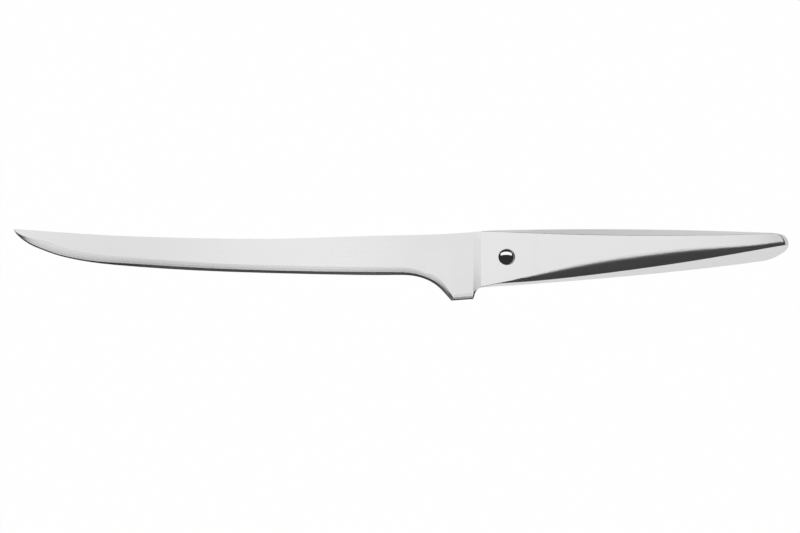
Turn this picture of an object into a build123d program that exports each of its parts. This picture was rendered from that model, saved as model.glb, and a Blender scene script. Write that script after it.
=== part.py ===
from build123d import *
import math
import os

# All-steel fillet knife lying on its side. Sizes in millimetres.
# Until it is laid down, the knife is built with its middle plane at z = 0:
# x = 0 is the crease between blade and handle, the tip lies at -X,
# the edge faces -Y, the spine +Y, and y = 0 is the height of the pearl.

# Blade, measured from the tip to the heel's rear corner
blade_length = 190.0
blade_depth = 16.9
tip_height = 11.6
spine_thickness = 2.3
ground_thickness = 0.80
point_length = 14.0
point_thickness = 1.46
point_ground_thickness = 0.98
tip_thickness = 1.0
tip_ground_thickness = 0.6

# Heel, which reaches below the neck by heel_drop, and the notch behind it
heel_drop = 5.4
heel_width = 9.1
heel_run = 21.2
heel_rise = 0.68
heel_thickness = 0.96
notch_length = 3.2

# Ground edge: a narrow bevel, with a wider and shallower band above it; the
# heel's bottom and the notch have an eased rim instead
edge_thickness = 0.1
bevel_width = 1.32
bevel_thickness = 0.7
band_width = 3.4
band_thickness = 1.31
rim_width = 4.1

# Neck, where the blade widens into the handle
neck_depth = 23.25
neck_top = 10.6
neck_thickness = 2.9

# Handle, measured from the crease to the butt
handle_length = 126.8
handle_width = 19.7
wall = 0.9
ridge_radius = 0.6
corner_radius = 0.25

# Facet round the butt: its depth across the handle, its slope from the side
# face, and the radius that rolls the side face into it
butt_facet_depth = 2.0
butt_facet_angle = 50.0
butt_radius = 1.0
butt_radius_steps = 4

# Solid shoulder of the blade behind the crease, and its spigot in the shells
shoulder_length = 22.0
spigot_length = 8.0
spigot_clearance = 0.05

# Weld metal, filling the gaps between the shells and the shoulder
weld_width = 1.2

# Pearl: a turned plug with a domed end on each side
pearl_distance = 10.4
pearl_bore = 6.5
pearl_dome_radius = 5.1
pearl_clearance = 0.02
pearl_countersink = 0.15

# Every cut runs this far past the face that it leaves through
overrun = 5.0

# Blade outline: share of blade_length from the tip, and share of blade_depth
# above y = 0; the edge adds its shares of the bevel's and the band's width
spine_shares = (
    (0.057, 0.640),
    (0.188, 0.542),
    (0.318, 0.484),
    (0.449, 0.450),
    (0.547, 0.444),
    (0.645, 0.465),
    (0.775, 0.516),
    (0.906, 0.547),
)
edge_shares = (
    (0.0053, 0.570, 0.22, 0.20),
    (0.0137, 0.478, 0.35, 0.41),
    (0.0353, 0.308, 0.43, 0.90),
    (0.060, 0.185, 0.42, 1.0),
    (0.090, 0.062, 0.40, 1.0),
    (0.1226, -0.034, 0.42, 1.0),
    (0.188, -0.156, 0.55, 0.97),
    (0.253, -0.225, 0.85, 0.92),
    (0.318, -0.279, 0.94, 0.92),
    (0.449, -0.355, 0.90, 0.92),
    (0.579, -0.400, 0.87, 1.0),
    (0.71, -0.434, 0.97, 1.0),
    (0.825, -0.442, 0.96, 0.95),
)
# Heel curve: share of heel_run past the belly, share of the drop to the heel,
# and shares of the bevel's and the band's width
heel_shares = (
    (0.29, 0.038, 0.75, 0.90),
    (0.488, 0.150, 0.68, 0.90),
    (0.585, 0.236, 0.70, 0.85),
    (0.78, 0.515, 0.80, 0.62),
    (0.897, 0.765, 0.82, 0.45),
    (1.0, 1.0, 0.85, 0.30),
)
# Notch behind the heel, from the heel's rear corner to the neck: share of
# notch_length, share of the climb, and share of the rim's width
notch_shares = (
    (0.0, 0.0, 0.50),
    (0.14, 0.28, 0.35),
    (0.34, 0.62, 0.15),
    (0.62, 0.86, 0.05),
    (1.0, 1.0, 0.0),
)
# Profile of the ground edge, up from the sharp edge: shares of the bevel's
# width and rise, of the band's width and rise, and of the rim's width
ground_profile_shares = (
    (0.0, 0.0, 0.0, 0.0, 0.0),
    (0.57, 0.57, 0.0, 0.0, 0.0),
    (1.0, 1.0, 0.0, 0.0, 0.12),
    (1.0, 1.0, 0.294, 0.362, 0.31),
    (1.0, 1.0, 0.588, 0.661, 0.60),
    (1.0, 1.0, 1.0, 1.0, 1.0),
)

# Handle sections: share of handle_length from the crease; then, as shares of
# neck_depth above y = 0, the ridge, the side face's top edge and lower edge,
# the dark facet's lower edge and the keel; last, the side face's distance
# from the middle plane as a share of the growth from neck to full width
handle_shares = (
    (0.0, 0.4559, 0.4495, -0.5260, -0.5325, -0.5441, 0.0),
    (0.0276, 0.4730, 0.4550, -0.4960, -0.5030, -0.5350, 0.033),
    (0.0552, 0.4790, 0.4510, -0.4660, -0.4760, -0.5250, 0.066),
    (0.0946, 0.4830, 0.4410, -0.4280, -0.4590, -0.5120, 0.112),
    (0.158, 0.4880, 0.4265, -0.3590, -0.4350, -0.4875, 0.187),
    (0.276, 0.4950, 0.4040, -0.2230, -0.3725, -0.4385, 0.328),
    (0.41, 0.4955, 0.3880, -0.0905, -0.2855, -0.3775, 0.487),
    (0.552, 0.4885, 0.3820, 0.0185, -0.1820, -0.3070, 0.656),
    (0.694, 0.4740, 0.3855, 0.1095, -0.0660, -0.2265, 0.818),
    (0.82, 0.4540, 0.3955, 0.1650, 0.0500, -0.1460, 0.938),
    (0.93, 0.4330, 0.4150, 0.2260, 0.1560, -0.0660, 0.996),
    (1.03, 0.4150, 0.4060, 0.2640, 0.2500, 0.0120, 0.99),
)
# Slope of the dark facet from the side face, and the share of its length
# that rounds over into the side face
facet_angle = 25.0
facet_round_share = 0.30

# End of the handle seen from the side: share of handle_length, share of
# neck_depth above y = 0
butt_shares = (
    (0.900, -0.114),
    (0.930, -0.059),
    (0.958, -0.006),
    (0.9748, 0.046),
    (0.9874, 0.0906),
    (0.9962, 0.144),
    (1.0, 0.208),
    (0.9985, 0.278),
    (0.9938, 0.338),
    (0.986, 0.378),
    (0.972, 0.408),
    (0.945, 0.432),
    (0.900, 0.462),
)
# Low and high end of the hollow's rear wall, before the wall's thickness
hollow_end_shares = (
    (0.92, -0.05),
    (0.975, 0.38),
)
# Height at which the spine's weld meets the keel's weld on the butt
weld_meeting_share = 0.215

# Points that the knife lies on, on its far side: the bevel's upper line, the
# heel's bottom and the side face's lower edge at one of the handle's sections
belly_contact_shares = (0.1745, -0.1)
heel_contact_share = 0.074
handle_contact_shares = handle_shares[9]


# Corner points of the blade's outline
def outline_corners():
    tip = Vector(-notch_length - blade_length, tip_height)
    neck_low = Vector(0, neck_top - neck_depth)
    neck_high = Vector(0, neck_top)
    front = Vector(-notch_length - heel_width, neck_low.Y - heel_drop)
    rear = Vector(-notch_length, front.Y + heel_rise)
    return tip, front, rear, neck_low, neck_high


def blade_point(length_share, depth_share):
    tip = outline_corners()[0]
    return Vector(tip.X + length_share * blade_length, depth_share * blade_depth)


# Point of the curve that drops from the belly to the heel
def heel_point(run_share, drop_share):
    front = outline_corners()[1]
    belly = blade_point(*edge_shares[-1][:2])
    drop = drop_share * (belly.Y - front.Y)
    return Vector(front.X - (1 - run_share) * heel_run, belly.Y - drop)


# Points of the sharp edge from the tip to the heel's front corner
def edge_points():
    blade = [blade_point(*row[:2]) for row in edge_shares]
    heel = [heel_point(*row[:2]) for row in heel_shares]
    return [outline_corners()[0]] + blade + heel


# Points of the notch from the heel's rear corner to the neck
def notch_points():
    rear, neck_low = outline_corners()[2:4]
    climb = neck_low.Y - rear.Y
    return [Vector(rear.X + row[0] * notch_length, rear.Y + row[1] * climb) for row in notch_shares]


# Points of a smooth line, each moved to the left of it by its own distance
def moved_points(points, distances):
    curve = Spline(*points)
    moved = []
    for point, distance in zip(points, distances):
        tangent = curve.tangent_at(curve.param_at_point(point))
        moved.append(point + Vector(-tangent.Y, tangent.X) * distance)
    return moved


# Corner between two lines, once each has moved to its left
def moved_corner(corner, line_in, line_out, move_in, move_out):
    left_in = Vector(-line_in.Y, line_in.X)
    left_out = Vector(-line_out.Y, line_out.X)
    along_in = line_in * (move_out / line_in.dot(left_out))
    return corner + along_in + line_out * (move_in / line_out.dot(left_in))


# Outline of the blade at one height, drawn in by one row of the profile
def blade_level(z, profile):
    tip, front, rear, neck_low, neck_high = outline_corners()
    bevel, band, rim = profile[0] * bevel_width, profile[2] * band_width, profile[4] * rim_width
    edge = edge_points()
    edge_moves = [0] + [row[2] * bevel + row[3] * band for row in edge_shares + heel_shares]
    notch = notch_points()
    notch_moves = [row[2] * rim for row in notch_shares]
    edge_line = (edge[-1] - edge[-2]).normalized()
    heel_line = (rear - front).normalized()
    notch_line = (notch[1] - notch[0]).normalized()
    low_edge = moved_points(edge, edge_moves)
    low_edge[-1] = moved_corner(front, edge_line, heel_line, edge_moves[-1], rim)
    low_notch = moved_points(notch, notch_moves)
    low_notch[0] = moved_corner(rear, heel_line, notch_line, rim, notch_moves[0])
    outline = [
        Spline(tip, *[blade_point(*row) for row in spine_shares], neck_high),
        Line(neck_high, neck_low),
        Spline(*reversed(low_notch)),
        Line(low_notch[0], low_edge[-1]),
        Spline(*low_edge),
    ]
    return Pos(0, 0, z) * Face(Wire(outline))


# Distance from the middle plane at one row of the profile
def profile_height(profile):
    bevel_rise = (bevel_thickness - edge_thickness) / 2
    band_rise = (band_thickness - bevel_thickness) / 2
    return edge_thickness / 2 + profile[1] * bevel_rise + profile[3] * band_rise


# Plate with the blade's outline, drawn in towards the faces by the profile
def blade_plate():
    near = [(profile_height(profile), profile) for profile in ground_profile_shares]
    near.append((neck_thickness / 2 + overrun, ground_profile_shares[-1]))
    levels = [(-z, profile) for z, profile in reversed(near)] + near
    return loft([blade_level(z, profile) for z, profile in levels], ruled=True)


# Cross-section of the wedge between the two faces, given by the thickness at
# two heights and carried on past both by the overrun
def wedge_section(x, high, high_thickness, low, low_thickness):
    slope = (high_thickness - low_thickness) / (high - low) / 2
    top = high_thickness / 2 + slope * overrun
    bottom = low_thickness / 2 - slope * overrun
    corners = [
        (x, high + overrun, top),
        (x, high + overrun, -top),
        (x, low - overrun, -bottom),
        (x, low - overrun, bottom),
    ]
    return Face(Wire.make_polygon(corners, close=True))


# Wedge between the two faces: it thickens from the tip to the heel, has flat
# faces over the heel, and swells to the neck above the notch
def blade_wedge():
    tip, front, rear = outline_corners()[:3]
    belly = blade_point(*edge_shares[-1][:2])
    spine = blade_point(*spine_shares[-2])
    bend = heel_point(*heel_shares[1][:2])
    point = tip.X + point_length
    heel = wedge_section(front.X, spine.Y, spine_thickness, front.Y, heel_thickness)
    blade_sections = [
        wedge_section(tip.X, tip.Y, tip_thickness, belly.Y, tip_ground_thickness),
        wedge_section(point, tip.Y, point_thickness, belly.Y, point_ground_thickness),
        wedge_section(belly.X, spine.Y, spine_thickness, belly.Y, ground_thickness),
        wedge_section(bend.X, spine.Y, spine_thickness, bend.Y, ground_thickness),
        heel,
    ]
    neck_sections = [
        wedge_section(rear.X, spine.Y, spine_thickness, front.Y, heel_thickness),
        wedge_section(0, spine.Y, neck_thickness, front.Y, neck_thickness),
    ]
    flat = extrude(heel, amount=heel_width, dir=(1, 0, 0))
    return loft(blade_sections, ruled=True) + flat + loft(neck_sections, ruled=True)


# Corners of a handle section as (y, z), round from the ridge
def section_corners(row):
    ridge, high, low, facet_low, keel = [share * neck_depth for share in row[1:6]]
    half = neck_thickness / 2 + row[6] * (handle_width - neck_thickness) / 2
    half_low = half - (low - facet_low) * math.tan(math.radians(facet_angle))
    near = [(high, half), (low, half), (facet_low, half_low)]
    far = [(y, -z) for y, z in reversed(near)]
    return [(ridge, 0)] + near + [(keel, 0)] + far


def section_plane(row):
    return Plane(origin=(row[0] * handle_length, 0, 0), x_dir=(0, 1, 0), z_dir=(1, 0, 0))


def outer_section(row):
    corners = section_corners(row)
    facet_length = math.dist(corners[2], corners[3])
    facet_radius = facet_round_share * facet_length / math.tan(math.radians(facet_angle) / 2)
    near = [corner_radius, facet_radius, corner_radius / 2]
    radii = [ridge_radius] + near + [ridge_radius] + near[::-1]
    outline = FilletPolyline(*corners, radius=radii, close=True)
    return section_plane(row) * Face(outline)


def inner_section(row, inset):
    corners = [(y, z, 0) for y, z in section_corners(row)]
    outline = Face(Wire.make_polygon(corners, close=True))
    return section_plane(row) * offset(outline, amount=-inset, kind=Kind.INTERSECTION)


# Side view of everything up to the butt, drawn back along the handle by the inset
def butt_level(z, inset):
    points = [Vector(x * handle_length - inset, y * neck_depth) for x, y in butt_shares]
    low, high = points[0], points[-1]
    corners = [
        high,
        Vector(high.X, neck_depth),
        Vector(-overrun, neck_depth),
        Vector(-overrun, -neck_depth),
        Vector(low.X, -neck_depth),
        low,
    ]
    sides = [Line(a, b) for a, b in zip(corners, corners[1:])]
    return Pos(0, 0, z) * Face(Wire([Spline(*points)] + sides))


# Distances from the middle plane and insets from the butt, down the facet
# and round the radius
def butt_half_levels():
    half = handle_width / 2
    angle = math.radians(butt_facet_angle)
    facet_end = (butt_facet_depth - butt_radius * (1 - math.cos(angle))) / math.tan(angle)
    centre = facet_end + butt_radius * math.sin(angle)
    levels = [(half - butt_facet_depth, 0)]
    for step in range(butt_radius_steps + 1):
        turn = angle * (1 - step / butt_radius_steps)
        z = half - butt_radius * (1 - math.cos(turn))
        levels.append((z, centre - butt_radius * math.sin(turn)))
    return levels


def butt_block():
    near = butt_half_levels()
    far = [(-z, inset) for z, inset in reversed(near)]
    return loft([butt_level(z, inset) for z, inset in far + near], ruled=True)


def handle_body():
    return loft([outer_section(row) for row in handle_shares]) & butt_block()


# Space inside the handle at a distance from its outside, from the last section
# that lies in the shoulder; it ends in a flat that leans with the butt
def handle_space(inset):
    solid_rows = [row for row in handle_shares if row[0] * handle_length < shoulder_length]
    rows = handle_shares[len(solid_rows) - 1:]
    space = loft([inner_section(row, inset) for row in rows])
    low, high = [(x * handle_length - inset, y * neck_depth) for x, y in hollow_end_shares]
    corners = [
        (high[0], neck_depth),
        high,
        low,
        (low[0], -neck_depth),
        (-overrun, -neck_depth),
        (-overrun, neck_depth),
    ]
    side_view = Face(Wire.make_polygon([Vector(*corner) for corner in corners], close=True))
    return space & extrude(side_view, amount=handle_width, both=True)


# Slice of the handle between two distances from the crease and two distances
# from the middle plane
def slab(x_start, x_end, z_start, z_end):
    block = Box(x_end - x_start, 4 * neck_depth, z_end - z_start)
    return Pos((x_start + x_end) / 2, 0, (z_start + z_end) / 2) * block


# Bore through the shoulder, with a countersink at each side face
def pearl_bore_cut():
    radius = pearl_bore / 2
    rim = radius + pearl_countersink
    tool = Cylinder(radius, handle_width)
    for turn in (0, 180):
        cone_length = pearl_countersink + overrun
        cone = Cone(radius, rim + overrun, cone_length)
        cone = Pos(0, 0, pearl_side() - pearl_countersink + cone_length / 2) * cone
        tool += Rot(turn, 0, 0) * cone
    return Pos(pearl_distance, 0, 0) * tool


# Growth of the side face's distance from the middle plane, at the crease
def side_slope():
    start, end = handle_shares[0], handle_shares[1]
    growth = (end[6] - start[6]) * (handle_width - neck_thickness) / 2
    return growth / ((end[0] - start[0]) * handle_length)


# Distance of the side face from the middle plane, at the pearl
def pearl_side():
    return neck_thickness / 2 + side_slope() * pearl_distance


def make_blade(body):
    shoulder = body & slab(0, shoulder_length, -handle_width, handle_width)
    spigot = handle_space(wall + spigot_clearance)
    spigot &= slab(shoulder_length, shoulder_length + spigot_length, -handle_width, handle_width)
    blade = (blade_plate() & blade_wedge()) + shoulder + spigot
    return blade - pearl_bore_cut()


# Plug whose domes rise from the two side faces
def make_pearl():
    radius = pearl_bore / 2 - pearl_clearance
    centre = math.sqrt(pearl_dome_radius ** 2 - radius ** 2) - pearl_side()
    pearl = Cylinder(radius, handle_width)
    for side in (-1, 1):
        pearl &= Pos(0, 0, side * centre) * Sphere(pearl_dome_radius)
    return Pos(pearl_distance, 0, 0) * pearl


# Pressed shell on one side of the middle plane
def make_shell(hollow, side):
    start = shoulder_length + weld_width
    near, far = sorted((side * weld_width / 2, side * handle_width))
    return hollow & slab(start, handle_length + overrun, near, far)


# Ring of weld metal between the shoulder and the shells
def make_neck_weld(hollow):
    end = shoulder_length + weld_width
    return hollow & slab(shoulder_length, end, -handle_width, handle_width)


# Weld metal along the middle plane, above or below the butt's meeting point
def make_seam_weld(hollow, side):
    start = shoulder_length + weld_width
    seam = hollow & slab(start, handle_length + overrun, -weld_width / 2, weld_width / 2)
    middle = weld_meeting_share * neck_depth
    half = Box(2 * handle_length, 4 * neck_depth, handle_width)
    return seam & Pos(handle_length, middle + side * 2 * neck_depth, 0) * half


# Pieces by name, built with the knife's middle plane at z = 0
def make_pieces():
    body = handle_body()
    hollow = body - handle_space(wall)
    return {
        "blade": make_blade(body),
        "handle_shell_left": make_shell(hollow, -1),
        "handle_shell_right": make_shell(hollow, 1),
        "neck_weld": make_neck_weld(hollow),
        "spine_weld": make_seam_weld(hollow, 1),
        "keel_weld": make_seam_weld(hollow, -1),
        "pearl": make_pearl(),
    }


# Plane through the three points that the knife lies on
def table_plane():
    front, rear = outline_corners()[1:3]
    belly = blade_point(*belly_contact_shares) - Vector(0, 0, bevel_thickness / 2)
    heel = front + (rear - front) * heel_contact_share
    heel -= Vector(0, 0, profile_height(ground_profile_shares[1]))
    y, z = section_corners(handle_contact_shares)[2]
    handle = Vector(handle_contact_shares[0] * handle_length, y, -z)
    up = (heel - belly).cross(handle - belly).normalized()
    along = Vector(1, 0, 0) - up * up.X
    return Plane(origin=heel, x_dir=along, z_dir=up)


# Lay the knife on its side, with the origin under the middle of its box
def laid_down(pieces):
    turn = table_plane().location.inverse()
    turned = {name: turn * piece for name, piece in pieces.items()}
    solids = [solid for piece in turned.values() for solid in piece.solids()]
    box = Compound(solids).bounding_box()
    middle = box.center()
    shift = Pos(-middle.X, -middle.Y, -box.min.Z)
    return {name: shift * piece for name, piece in turned.items()}


os.makedirs("parts", exist_ok=True)
for name, piece in laid_down(make_pieces()).items():
    export_step(piece, f"parts/{name}.step")
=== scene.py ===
import math

import bpy
from mathutils import Matrix, Vector

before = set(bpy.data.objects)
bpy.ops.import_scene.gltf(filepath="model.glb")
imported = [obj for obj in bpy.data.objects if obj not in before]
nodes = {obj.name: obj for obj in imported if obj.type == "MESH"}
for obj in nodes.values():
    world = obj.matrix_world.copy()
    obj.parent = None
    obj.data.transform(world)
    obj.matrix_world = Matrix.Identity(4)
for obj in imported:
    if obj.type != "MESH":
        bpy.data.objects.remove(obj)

scene = bpy.context.scene
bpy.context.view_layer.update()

# The knife lies on its side, rolled towards its edge and pitched up to the butt
restSettings = {
    "roll": 14.929,          # degrees about the knife's length
    "pitch": 1.573,          # degrees, butt up
    "crease": (0.0331431, 0.0027798, 0.0051621),   # where blade and handle meet, at the pearl
}


def knifeAxes():
    pitch = Matrix.Rotation(math.radians(-restSettings["pitch"]), 3, "Y")
    roll = Matrix.Rotation(math.radians(restSettings["roll"]), 3, "X")
    return pitch @ roll      # columns: towards the butt, the spine and the upper side


def knifePoint(along, across, above):
    return Vector(restSettings["crease"]) + knifeAxes() @ Vector((along, across, above))


print("Camera: square on to the knife's upper side")
cameraSettings = {
    "pixel": 0.00041344,     # metres of the knife in one pixel
    "frameWidth": 800,
    "middle": (-0.03349, -0.00393),   # middle of the picture, from the crease
    "lens": 400.0,
    "sensor": 36.0,
    "clipShare": 0.01,       # of the distance, the nearest seen, and its inverse the furthest
}


def makeCamera():
    data = bpy.data.cameras.new("camera")
    data.lens = cameraSettings["lens"]
    data.sensor_width = cameraSettings["sensor"]
    width = cameraSettings["pixel"] * cameraSettings["frameWidth"]
    distance = width * data.lens / data.sensor_width
    data.clip_start = distance * cameraSettings["clipShare"]
    data.clip_end = distance / cameraSettings["clipShare"]
    camera = bpy.data.objects.new("camera", data)
    scene.collection.objects.link(camera)
    place = knifeAxes().to_4x4()
    place.translation = knifePoint(*cameraSettings["middle"], distance)
    camera.matrix_world = place
    scene.camera = camera


makeCamera()

print("Studio: pale floor, soft panels above and on the spine's side")
studioSettings = {
    "worldGrey": 0.03,
    "floorHalf": 30.0,
    "floorColor": 0.95,
    "floorGlow": 0.99,       # share of plain white that the camera sees
    "floorGlossGlow": 0.77,  # and that reflections see
    "panelHeight": 0.9,
    "topPanel": {
        "fromX": -0.62, "toX": 0.24,
        "fromAngle": -31.4, "toAngle": 6.0,   # from straight up, towards the spine
        "radiance": 1.07,
    },
    "spinePanel": {
        "fromX": -1.2, "toX": 1.2,
        "fromAngle": 6.0, "toAngle": 36.0,
        "radiance": 1.07,
    },
}


def mathNode(tree, operation, *values, clamp=False):
    node = tree.nodes.new("ShaderNodeMath")
    node.operation = operation
    node.use_clamp = clamp
    for socket, value in zip(node.inputs, values):
        if isinstance(value, (int, float)):
            socket.default_value = value
        else:
            tree.links.new(value, socket)
    return node.outputs[0]


def makePanel(name):
    settings = studioSettings[name]
    height = studioSettings["panelHeight"]
    low, high = [math.tan(math.radians(settings[key])) * height for key in ("fromAngle", "toAngle")]
    data = bpy.data.lights.new(name, "AREA")
    data.shape = "RECTANGLE"
    data.size = settings["toX"] - settings["fromX"]
    data.size_y = high - low
    data.energy = settings["radiance"] * data.size * data.size_y * math.pi
    panel = bpy.data.objects.new(name, data)
    scene.collection.objects.link(panel)
    panel.location = ((settings["fromX"] + settings["toX"]) / 2, (low + high) / 2, height)
    panel.visible_camera = False
    return panel


def keepOff(panel, piece):   # the panel leaves this piece dark
    receivers = bpy.data.collections.new(panel.name + "Receivers")
    receivers.objects.link(piece)
    receivers.collection_objects[0].light_linking.link_state = "EXCLUDE"
    panel.light_linking.receiver_collection = receivers


def makePaper():
    # glows by its own share for each kind of ray, and is plain paper for the rest
    material = bpy.data.materials.new("floorPaper")
    material.use_nodes = True
    material.cycles.emission_sampling = "NONE"
    tree = material.node_tree
    tree.nodes.clear()
    paper = tree.nodes.new("ShaderNodeBsdfDiffuse")
    paper.inputs["Color"].default_value = (studioSettings["floorColor"],) * 3 + (1,)
    glow = tree.nodes.new("ShaderNodeEmission")
    rays = tree.nodes.new("ShaderNodeLightPath")
    seen = 0.0
    for ray, share in (("Camera", "floorGlow"), ("Glossy", "floorGlossGlow"), ("Transmission", "floorGlow")):
        shown = mathNode(tree, "MULTIPLY", rays.outputs[f"Is {ray} Ray"], studioSettings[share])
        seen = mathNode(tree, "MAXIMUM", seen, shown)
    mix = tree.nodes.new("ShaderNodeMixShader")
    tree.links.new(seen, mix.inputs["Fac"])
    tree.links.new(paper.outputs[0], mix.inputs[1])
    tree.links.new(glow.outputs[0], mix.inputs[2])
    output = tree.nodes.new("ShaderNodeOutputMaterial")
    tree.links.new(mix.outputs[0], output.inputs["Surface"])
    return material


def makeFloor():
    half = studioSettings["floorHalf"]
    mesh = bpy.data.meshes.new("floor")
    corners = [(-half, -half, 0), (half, -half, 0), (half, half, 0), (-half, half, 0)]
    mesh.from_pydata(corners, [], [(0, 1, 2, 3)])
    mesh.materials.append(makePaper())
    floor = bpy.data.objects.new("floor", mesh)
    scene.collection.objects.link(floor)


def makeWorld():
    world = bpy.data.worlds.new("studio")
    world.use_nodes = True
    background = world.node_tree.nodes["Background"]
    background.inputs["Color"].default_value = (studioSettings["worldGrey"],) * 3 + (1,)
    scene.world = world


scene.view_settings.view_transform = "Standard"
makeWorld()
makeFloor()
keepOff(makePanel("topPanel"), nodes["pearl"])
makePanel("spinePanel")

# the rise and fall along the blade is painted light and shade
print("Shader groups: lean of the surface, polish along the blade, grain, grit, cloudy polish")
grainPattern = {
    "stretch": (0.012, 1.0, 1.0),         # along the knife, across it and through it
    "detail": 3.0, "roughness": 0.6,
    "toneScale": 0.22, "toneDetail": 2.0, "toneRoughness": 0.5,
}
gritPattern = {
    "detail": 2.0, "roughness": 0.7,
    "rubStretch": (0.03, 0.25, 0.25), "rubDetail": 1.0, "rubRoughness": 0.5, "rubShare": 0.5,
}
cloudPattern = {"stretch": (0.45, 1.0, 1.0), "detail": 3.0, "roughness": 0.55}
evenStretch = (1.0, 1.0, 1.0)
noiseMiddle = 0.5            # a noise swings about this value


def newGroup(name, inputs, outputs):
    group = bpy.data.node_groups.new(name, "ShaderNodeTree")
    for label, value in inputs.items():
        socket = group.interface.new_socket(label, in_out="INPUT", socket_type="NodeSocketFloat")
        socket.default_value = value
    for label in outputs:
        group.interface.new_socket(label, in_out="OUTPUT", socket_type="NodeSocketFloat")
    return group, group.nodes.new("NodeGroupInput"), group.nodes.new("NodeGroupOutput")


def dotNode(tree, source, direction):
    node = tree.nodes.new("ShaderNodeVectorMath")
    node.operation = "DOT_PRODUCT"
    node.inputs[1].default_value = direction
    tree.links.new(source, node.inputs[0])
    return node.outputs["Value"]


def knifeCoordinates(tree, stretch):
    # place on the piece along the knife's own axes, stretched along each
    place = tree.nodes.new("ShaderNodeTexCoord").outputs["Object"]
    parts = tree.nodes.new("ShaderNodeCombineXYZ")
    for axis, share, socket in zip(knifeAxes().col, stretch, parts.inputs):
        tree.links.new(mathNode(tree, "MULTIPLY", dotNode(tree, place, axis), share), socket)
    return parts.outputs[0]


def noiseNode(tree, vector, scale, detail, roughness):
    noise = tree.nodes.new("ShaderNodeTexNoise")
    noise.inputs["Detail"].default_value = detail
    noise.inputs["Roughness"].default_value = roughness
    tree.links.new(vector, noise.inputs["Vector"])
    tree.links.new(scale, noise.inputs["Scale"])
    return noise.outputs["Fac"]


def makeTiltGroup():
    # grows to 1 as the surface leans from Start to Full, and ends at Stop, which no lean
    # reaches unless it is set below 1
    group, given, result = newGroup(
        "facetTilt", {"Start": 0.1, "Full": 0.2, "Stop": 2.0}, ["Edgeward", "Spineward", "Tipward"])
    normal = group.nodes.new("ShaderNodeTexCoord").outputs["Normal"]
    towardsButt, towardsSpine = knifeAxes().col[0], knifeAxes().col[1]
    reach = mathNode(group, "SUBTRACT", given.outputs["Full"], given.outputs["Start"])
    for label, direction in (
            ("Edgeward", -towardsSpine), ("Spineward", towardsSpine), ("Tipward", -towardsButt)):
        lean = dotNode(group, normal, direction)
        past = mathNode(group, "SUBTRACT", lean, given.outputs["Start"])
        share = mathNode(group, "DIVIDE", past, reach, clamp=True)
        within = mathNode(group, "LESS_THAN", lean, given.outputs["Stop"])
        group.links.new(mathNode(group, "MULTIPLY", share, within), result.inputs[label])
    return group


def makeWaveGroup():
    # painted light and shade: a slow rise and fall of the blade's brightness along it, fading out at the
    # crease;
    # Ahead is 1 on the blade, Behind grows to 1 along the shoulder
    group, given, result = newGroup(
        "paintedLightWave", {"Length": 0.19, "Crest": -0.06, "Fade": 0.02}, ["Wave", "Ahead", "Behind"])
    parts = group.nodes.new("ShaderNodeSeparateXYZ")
    group.links.new(knifeCoordinates(group, evenStretch), parts.inputs[0])
    crease = Vector(restSettings["crease"]).dot(knifeAxes().col[0])
    along = mathNode(group, "SUBTRACT", parts.outputs["X"], crease)
    past = mathNode(group, "SUBTRACT", along, given.outputs["Crest"])
    turns = mathNode(group, "DIVIDE", past, given.outputs["Length"])
    wave = mathNode(group, "COSINE", mathNode(group, "MULTIPLY", turns, math.tau))
    before = mathNode(group, "MULTIPLY", along, -1.0)
    share = mathNode(group, "DIVIDE", before, given.outputs["Fade"], clamp=True)
    group.links.new(mathNode(group, "MULTIPLY", wave, share), result.inputs["Wave"])
    group.links.new(mathNode(group, "LESS_THAN", along, 0.0), result.inputs["Ahead"])
    behind = mathNode(group, "DIVIDE", along, given.outputs["Fade"], clamp=True)
    group.links.new(behind, result.inputs["Behind"])
    return group


def makeGrainGroup():
    # long fine lines left by the belt, along the knife
    group, given, result = newGroup("beltGrain", {"Lines": 2500.0, "Depth": 1.0}, ["Height", "Tone"])
    vector = knifeCoordinates(group, grainPattern["stretch"])
    lines = noiseNode(
        group, vector, given.outputs["Lines"], grainPattern["detail"], grainPattern["roughness"])
    group.links.new(mathNode(group, "MULTIPLY", lines, given.outputs["Depth"]), result.inputs["Height"])
    coarse = mathNode(group, "MULTIPLY", given.outputs["Lines"], grainPattern["toneScale"])
    tone = noiseNode(group, vector, coarse, grainPattern["toneDetail"], grainPattern["toneRoughness"])
    group.links.new(mathNode(group, "SUBTRACT", tone, noiseMiddle), result.inputs["Tone"])
    return group


def makeGritGroup():
    # even fine grit of a matt finish, with a few longer rubs
    group, given, result = newGroup("mattGrit", {"Grit": 3500.0, "Depth": 1.0}, ["Height", "Tone"])
    grit = noiseNode(
        group, knifeCoordinates(group, evenStretch), given.outputs["Grit"],
        gritPattern["detail"], gritPattern["roughness"])
    rubs = noiseNode(
        group, knifeCoordinates(group, gritPattern["rubStretch"]), given.outputs["Grit"],
        gritPattern["rubDetail"], gritPattern["rubRoughness"])
    both = mathNode(group, "ADD", grit, mathNode(group, "MULTIPLY", rubs, gritPattern["rubShare"]))
    group.links.new(mathNode(group, "MULTIPLY", both, given.outputs["Depth"]), result.inputs["Height"])
    group.links.new(mathNode(group, "SUBTRACT", rubs, noiseMiddle), result.inputs["Tone"])
    return group


def makeCloudGroup():
    # broad faint patches that handling and wiping leave in a polish
    group, given, result = newGroup("cloudyPolish", {"Size": 0.02, "Spread": 1.0}, ["Patches"])
    scale = mathNode(group, "DIVIDE", 1.0, given.outputs["Size"])
    patches = noiseNode(
        group, knifeCoordinates(group, cloudPattern["stretch"]), scale,
        cloudPattern["detail"], cloudPattern["roughness"])
    centred = mathNode(group, "SUBTRACT", patches, noiseMiddle)
    group.links.new(mathNode(group, "MULTIPLY", centred, given.outputs["Spread"]), result.inputs["Patches"])
    return group


facetTilt = makeTiltGroup()
paintedLightWave = makeWaveGroup()
beltGrain = makeGrainGroup()
mattGrit = makeGritGroup()
cloudyPolish = makeCloudGroup()

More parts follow.
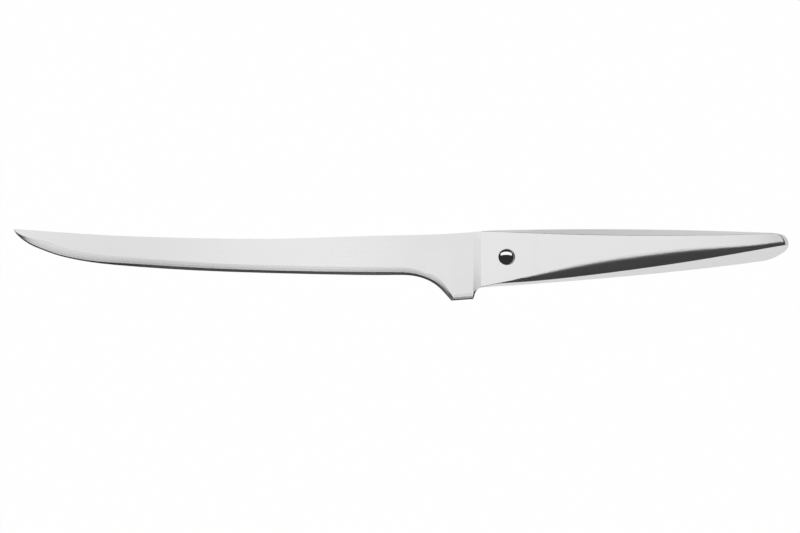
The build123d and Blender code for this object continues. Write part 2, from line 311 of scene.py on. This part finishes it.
print("Steel of the handle, the welds, the blade and the pearl")
handleSettings = {
    "base": 0.785, "ridgeShadedBase": 0.67,    # painted shade: the facets behind the ridge lines are darker
    "roughness": 0.285, "ridgeRoughness": 0.33,
    "ridgeStart": 0.45, "ridgeFull": 0.8,
    "grit": 3800.0, "gritDepth": 1.0, "bump": 0.03, "bumpDistance": 0.00002,
    "toneSpread": 0.012, "roughnessSpread": 0.04,
    "patchSize": 0.018, "patchSpread": 0.03, "patchTone": 0.5, "patchRoughness": 1.0,
}
weldSettings = dict(handleSettings, roughness=0.30, grit=5200.0, patchSize=0.006)


def placeGroup(tree, group, **values):
    node = tree.nodes.new("ShaderNodeGroup")
    node.node_tree = group
    for label, value in values.items():
        node.inputs[label].default_value = value
    return node.outputs


def newSteel(name):
    material = bpy.data.materials.new(name)
    material.use_nodes = True
    shader = material.node_tree.nodes["Principled BSDF"]
    shader.inputs["Metallic"].default_value = 1
    return material, material.node_tree, shader


def variedValue(tree, plain, other, mask, variations):
    # from one value to another by a mask, with small variations added
    value = mathNode(tree, "MULTIPLY_ADD", mask, other - plain, plain)
    for output, spread in variations:
        value = mathNode(tree, "MULTIPLY_ADD", output, spread, value)
    return value


def linkGrey(tree, shader, value):
    color = tree.nodes.new("ShaderNodeCombineColor")
    for socket in color.inputs:
        tree.links.new(value, socket)
    tree.links.new(color.outputs[0], shader.inputs["Base Color"])


def linkBump(tree, shader, height, settings):
    bump = tree.nodes.new("ShaderNodeBump")
    bump.inputs["Strength"].default_value = settings["bump"]
    bump.inputs["Distance"].default_value = settings["bumpDistance"]
    tree.links.new(height, bump.inputs["Height"])
    tree.links.new(bump.outputs["Normal"], shader.inputs["Normal"])


def makeHandleSteel(name, settings):
    material, tree, shader = newSteel(name)
    ridge = placeGroup(tree, facetTilt, Start=settings["ridgeStart"], Full=settings["ridgeFull"])
    grit = placeGroup(tree, mattGrit, Grit=settings["grit"], Depth=settings["gritDepth"])
    cloud = placeGroup(tree, cloudyPolish, Size=settings["patchSize"], Spread=settings["patchSpread"])
    # painted shade: facets that lean towards the spine get a darker colour
    linkGrey(tree, shader, variedValue(
        tree, settings["base"], settings["ridgeShadedBase"], ridge["Spineward"],
        [(grit["Tone"], settings["toneSpread"]), (cloud["Patches"], settings["patchTone"])]))
    rough = variedValue(
        tree, settings["roughness"], settings["ridgeRoughness"], ridge["Spineward"],
        [(grit["Tone"], settings["roughnessSpread"]), (cloud["Patches"], settings["patchRoughness"])])
    tree.links.new(rough, shader.inputs["Roughness"])
    linkBump(tree, shader, grit["Height"], settings)
    return material


bladeSettings = {
    "base": 0.785, "bevelShadedBase": 0.62,    # painted shade: the edge bevel is darker than the faces
    "roughness": 0.275, "bevelRoughness": 0.25,
    "bevelStart": 0.07, "bevelFull": 0.13, "bevelStop": 0.38,
    "swellStart": 0.085, "swellFull": 0.11, "swellShade": -0.05,   # painted shade where the neck swells
    "frontStart": 0.30, "frontFull": 0.45, "frontShade": -0.42,    # painted shade on the edge that faces the tip
    # painted light and shade: the blade's brightness rises and falls along its length
    "waveLength": 0.186, "waveCrest": -0.064, "waveFade": 0.02, "paintedWaveTone": 0.05,
    "shoulderRoughness": 0.01,           # behind the crease the finish becomes the handle's
    "lines": 2600.0, "lineDepth": 1.0, "bump": 0.03, "bumpDistance": 0.00002,
    "toneSpread": 0.012, "roughnessSpread": 0.03,
    "patchSize": 0.022, "patchSpread": 0.03, "patchTone": 0.5, "patchRoughness": 1.0,
}


def makeBladeSteel(settings):
    material, tree, shader = newSteel("bladeSteel")
    # painted shade: the bevel's colour is darker; its lower roughness is the honed finish
    bevel = placeGroup(
        tree, facetTilt, Start=settings["bevelStart"], Full=settings["bevelFull"],
        Stop=settings["bevelStop"])
    # painted shade: darker colour where the neck's surface leans towards the tip
    swell = placeGroup(tree, facetTilt, Start=settings["swellStart"], Full=settings["swellFull"])
    # painted shade: edges that lean towards the tip get a much darker colour
    front = placeGroup(tree, facetTilt, Start=settings["frontStart"], Full=settings["frontFull"])
    ridge = placeGroup(
        tree, facetTilt, Start=handleSettings["ridgeStart"], Full=handleSettings["ridgeFull"])
    # painted light and shade along the blade, and masks for the blade and the shoulder
    wave = placeGroup(
        tree, paintedLightWave, Length=settings["waveLength"], Crest=settings["waveCrest"],
        Fade=settings["waveFade"])
    grain = placeGroup(tree, beltGrain, Lines=settings["lines"], Depth=settings["lineDepth"])
    cloud = placeGroup(tree, cloudyPolish, Size=settings["patchSize"], Spread=settings["patchSpread"])
    edgeFrontShade = mathNode(tree, "MULTIPLY", front["Tipward"], wave["Ahead"])
    # painted shade: the darker ridge facets carry on along the shoulder behind the crease
    shoulderShade = mathNode(tree, "MULTIPLY", ridge["Spineward"], wave["Behind"])
    ridgeShadeTone = handleSettings["ridgeShadedBase"] - handleSettings["base"]
    linkGrey(tree, shader, variedValue(
        tree, settings["base"], settings["bevelShadedBase"], bevel["Edgeward"],
        [(grain["Tone"], settings["toneSpread"]), (cloud["Patches"], settings["patchTone"]),
         (swell["Tipward"], settings["swellShade"]), (edgeFrontShade, settings["frontShade"]),
         (wave["Wave"], settings["paintedWaveTone"]), (shoulderShade, ridgeShadeTone)]))
    rough = variedValue(
        tree, settings["roughness"], settings["bevelRoughness"], bevel["Edgeward"],
        [(grain["Tone"], settings["roughnessSpread"]), (cloud["Patches"], settings["patchRoughness"]),
         (wave["Behind"], settings["shoulderRoughness"])])
    tree.links.new(rough, shader.inputs["Roughness"])
    linkBump(tree, shader, grain["Height"], settings)
    return material


pearlSettings = {
    "base": 0.86, "baseSpread": 0.05,
    "roughness": 0.045, "roughnessSpread": 0.03,
    "patchSize": 0.0015,
}


def makePearlSteel(settings):
    material, tree, shader = newSteel("pearlSteel")
    patches = placeGroup(tree, cloudyPolish, Size=settings["patchSize"])["Patches"]
    grey = mathNode(tree, "MULTIPLY_ADD", patches, settings["baseSpread"], settings["base"])
    rough = mathNode(tree, "MULTIPLY_ADD", patches, settings["roughnessSpread"], settings["roughness"])
    linkGrey(tree, shader, grey)
    tree.links.new(rough, shader.inputs["Roughness"])
    return material


def dress(material, *names):
    for name in names:
        nodes[name].data.materials[0] = material


dress(makeHandleSteel("handleSteel", handleSettings), "handle_shell_left", "handle_shell_right")
dress(makeHandleSteel("weldSteel", weldSettings), "neck_weld", "spine_weld", "keel_weld")
dress(makeBladeSteel(bladeSettings), "blade")
dress(makePearlSteel(pearlSettings), "pearl")
